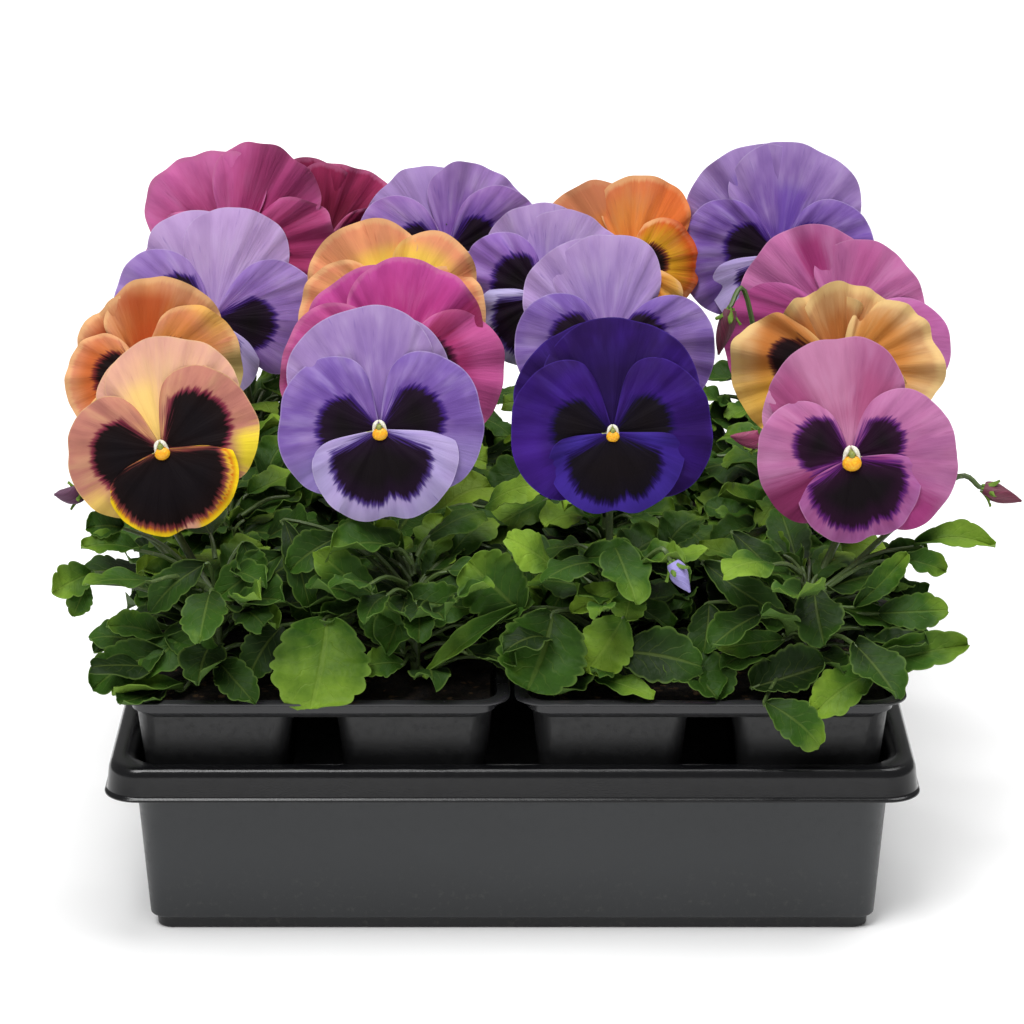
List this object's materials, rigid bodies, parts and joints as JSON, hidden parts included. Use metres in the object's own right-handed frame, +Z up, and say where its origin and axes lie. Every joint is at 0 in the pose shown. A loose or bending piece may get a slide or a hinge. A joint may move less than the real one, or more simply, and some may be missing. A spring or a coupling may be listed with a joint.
{
  "type": "tray of pansies",
  "caption": "Black nursery tray holding plug packs of pansies in full bloom, in mixed purple, pink, peach and orange, above low green foliage.",
  "frame": {"origin": "centre of the underside of the tray's foot, on the surface that it stands on", "axes": "+Z up, -Y towards the front that the blooms face, +X to the right as seen from the front"},
  "size_m": [0.3349, 0.2864, 0.2263],
  "materials": {
    "tray_plastic": "satin",
    "pack_plastic": "satin",
    "compost": "matte",
    "foliage": "satin",
    "petals_peach": "matte",
    "petals_lavender": "matte",
    "petals_violet": "matte",
    "petals_mauve": "matte",
    "petals_orange": "matte",
    "petals_magenta": "matte",
    "petals_apricot": "matte",
    "petals_lilac": "matte",
    "petals_pink": "matte",
    "petals_rose": "matte",
    "petals_burgundy": "matte",
    "petals_purple": "matte",
    "bud_burgundy": "matte",
    "bud_pink": "matte",
    "bud_purple": "matte",
    "bud_lavender": "matte"
  },
  "bodies": {
    "root": {"nursery_tray": "tray_plastic", "pack_back_left": "pack_plastic", "pack_back_right": "pack_plastic", "pack_front_left": "pack_plastic", "pack_front_right": "pack_plastic", "soil_back_left": "compost", "soil_back_right": "compost", "soil_front_left": "compost", "soil_front_right": "compost", "plant_a1": "foliage", "plant_a2": "foliage", "plant_a3": "foliage", "plant_a4": "foliage", "plant_b1": "foliage", "plant_b2": "foliage", "plant_b3": "foliage", "plant_b4": "foliage", "plant_c1": "foliage", "plant_c2": "foliage", "plant_c3": "foliage", "plant_c4": "foliage", "plant_d1": "foliage", "plant_d2": "foliage", "plant_d3": "foliage", "plant_d4": "foliage", "bloom_a1_peach": "petals_peach", "bloom_a2_lavender": "petals_lavender", "bloom_a3_violet": "petals_violet", "bloom_a4_mauve": "petals_mauve", "bloom_b1_orange": "petals_orange", "bloom_b2_magenta": "petals_magenta", "bloom_b3_lavender": "petals_lavender", "bloom_b4_apricot": "petals_apricot", "bloom_c1_lilac": "petals_lilac", "bloom_c2_orange": "petals_orange", "bloom_c3_lavender": "petals_lavender", "bloom_c4_pink": "petals_pink", "bloom_d1_burgundy": "petals_burgundy", "bloom_d1_rose": "petals_rose", "bloom_d2_lavender": "petals_lavender", "bloom_d3_orange": "petals_orange", "bloom_d4_purple": "petals_purple", "bud_1": "bud_burgundy", "bud_2": "bud_pink", "bud_3": "bud_burgundy", "bud_4": "bud_purple", "bud_5": "bud_lavender"}
  },
  "joints": []
}
